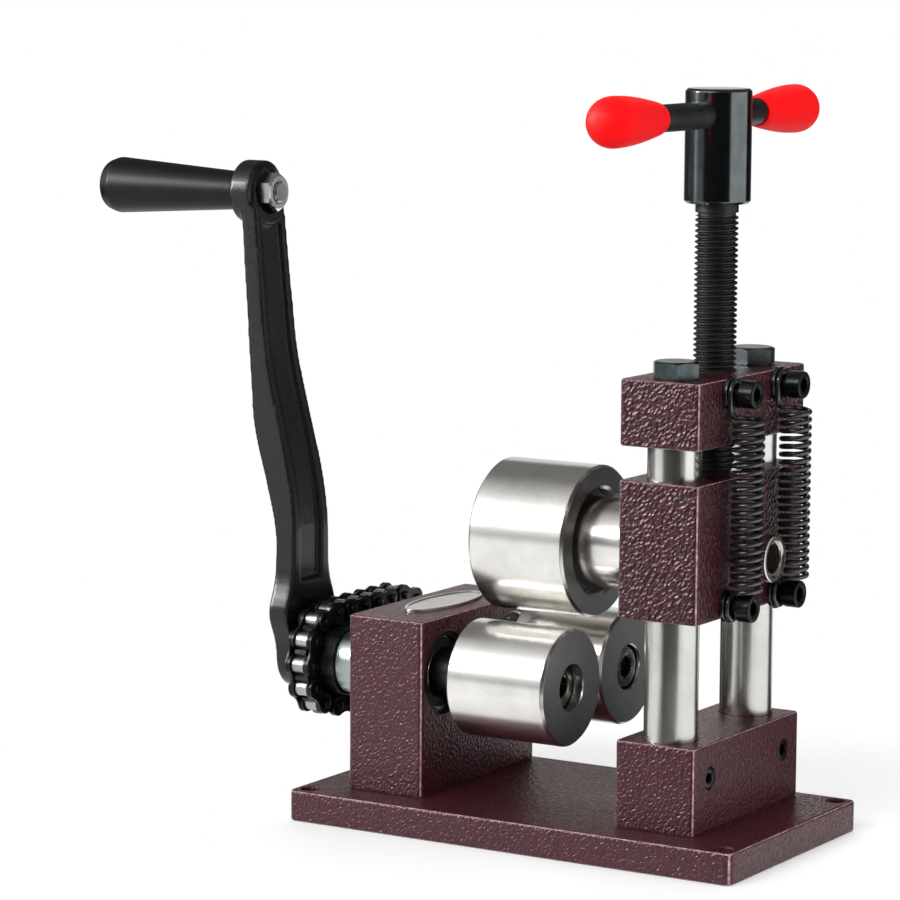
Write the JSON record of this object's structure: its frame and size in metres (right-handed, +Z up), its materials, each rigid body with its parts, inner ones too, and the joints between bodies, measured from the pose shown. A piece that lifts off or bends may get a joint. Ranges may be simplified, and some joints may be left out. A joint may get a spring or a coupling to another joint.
{
  "type": "bracelet bending machine",
  "caption": "Hand cranked three roller bending machine for bracelets, with a chain drive, sprung carriage, feed screw and sliding cross bar on a flat bench base.",
  "frame": {"origin": "centre of the base plate's underside, on the bench", "axes": "+X along the roller axes from the crank to the feed screw, +Y away from the operator, +Z up out of the bench"},
  "size_m": [0.297, 0.164, 0.2815],
  "materials": {
    "hammertone_paint": "maroon hammertone enamel, gloss with fine dimples",
    "badge_metal": "satin, blank, with a polished rim",
    "bearing_steel": "ground",
    "black_clips": "phosphated black",
    "column_steel": "ground and hard chromed",
    "roller_steel": "fine ground",
    "shaft_steel": "black oxide",
    "hub_steel": "turned",
    "bright_steel": "turned bright",
    "key_steel": "ground",
    "black_screws": "black oxide",
    "plated_washers": "zinc plated, dull",
    "spring_wire": "oiled black wire",
    "chain_plates": "black oxide, oiled",
    "chain_roller_steel": "worn bright",
    "sprocket_steel": "black oxide",
    "crank_enamel": "satin black enamel",
    "handle_plastic": "satin black",
    "bush_bronze": "oiled bearing bronze",
    "screw_steel": "black oxide, oiled gloss",
    "red_rubber": "moulded, satin"
  },
  "bodies": {
    "frame": {"base_plate": "hammertone_paint", "base_screws": "black_screws", "bearing_housing": "hammertone_paint", "badge_plate": "badge_metal", "front_bearing_outer": "bearing_steel", "rear_bearing_outer": "bearing_steel", "bearing_clips": "black_clips", "foot_block": "hammertone_paint", "foot_setscrews": "black_screws", "column_front": "column_steel", "column_rear": "column_steel", "crosshead": "hammertone_paint", "column_bolt_front": "black_screws", "column_bolt_rear": "black_screws", "upper_spring_screws": "black_screws", "upper_spring_washers": "plated_washers", "spring_front": "spring_wire", "spring_rear": "spring_wire", "chain_outer_links": "chain_plates", "chain_inner_links": "chain_plates", "chain_rollers": "chain_roller_steel"},
    "crank": {"front_shaft": "shaft_steel", "front_bearing_inner": "bearing_steel", "front_roller": "roller_steel", "front_roller_key": "key_steel", "front_roller_screw": "black_screws", "front_spacer": "bright_steel", "front_sprocket": "sprocket_steel", "front_sprocket_grub": "black_screws", "crank_arm": "crank_enamel", "crank_screw": "black_screws", "handle_axle": "bright_steel", "handle_nut": "plated_washers", "handle_washer": "plated_washers"},
    "handle": {"handle": "handle_plastic"},
    "rear_roller_set": {"rear_shaft": "shaft_steel", "rear_bearing_inner": "bearing_steel", "rear_roller": "roller_steel", "rear_roller_key": "key_steel", "rear_roller_screw": "black_screws", "rear_spacer": "bright_steel", "rear_sprocket": "sprocket_steel", "rear_sprocket_grub": "black_screws"},
    "carriage": {"carriage": "hammertone_paint", "axle_bush": "bush_bronze", "lower_spring_screws": "black_screws", "lower_spring_washers": "plated_washers"},
    "upper_roller_set": {"upper_shaft": "hub_steel", "upper_roller": "roller_steel", "upper_roller_screw": "black_screws", "axle_collar": "bright_steel", "collar_grub": "black_screws"},
    "feed_screw": {"feed_screw": "screw_steel"},
    "cross_bar": {"cross_bar": "screw_steel", "grip_near": "red_rubber", "grip_far": "red_rubber"}
  },
  "joints": [
    {"name": "crank_turn", "type": "hinge", "parent": "frame", "child": "crank", "pos_m": [0, -0.01831, 0.0575], "axis": [1, 0, 0], "continuous": true},
    {"name": "rear_roller_turn", "type": "hinge", "parent": "frame", "child": "rear_roller_set", "pos_m": [0, 0.02931, 0.0575], "axis": [1, 0, 0], "continuous": true},
    {"name": "grip_spin", "type": "hinge", "parent": "crank", "child": "handle", "pos_m": [-0.17, -0.01831, 0.2375], "axis": [1, 0, 0], "continuous": true},
    {"name": "carriage_slide", "type": "slide", "parent": "frame", "child": "carriage", "axis": [0, 0, 1], "range_m": [-0.006, 0.012], "deforming": ["spring_front", "spring_rear"]},
    {"name": "screw_turn", "type": "hinge", "parent": "carriage", "child": "feed_screw", "pos_m": [0.0555, 0.0055, 0.2], "axis": [0, 0, 1], "range_deg": [-1080, 2160]},
    {"name": "upper_roller_spin", "type": "hinge", "parent": "carriage", "child": "upper_roller_set", "pos_m": [0, 0.0055, 0.1097], "axis": [1, 0, 0], "continuous": true},
    {"name": "bar_slide", "type": "slide", "parent": "feed_screw", "child": "cross_bar", "axis": [0, 1, 0], "range_m": [-0.0179, 0.0349]}
  ],
  "couplings": [
    {"joint": "rear_roller_turn", "follows": "crank_turn", "ratio": 1},
    {"joint": "screw_turn", "follows": "carriage_slide", "rad_per_m": 3141.6}
  ]
}
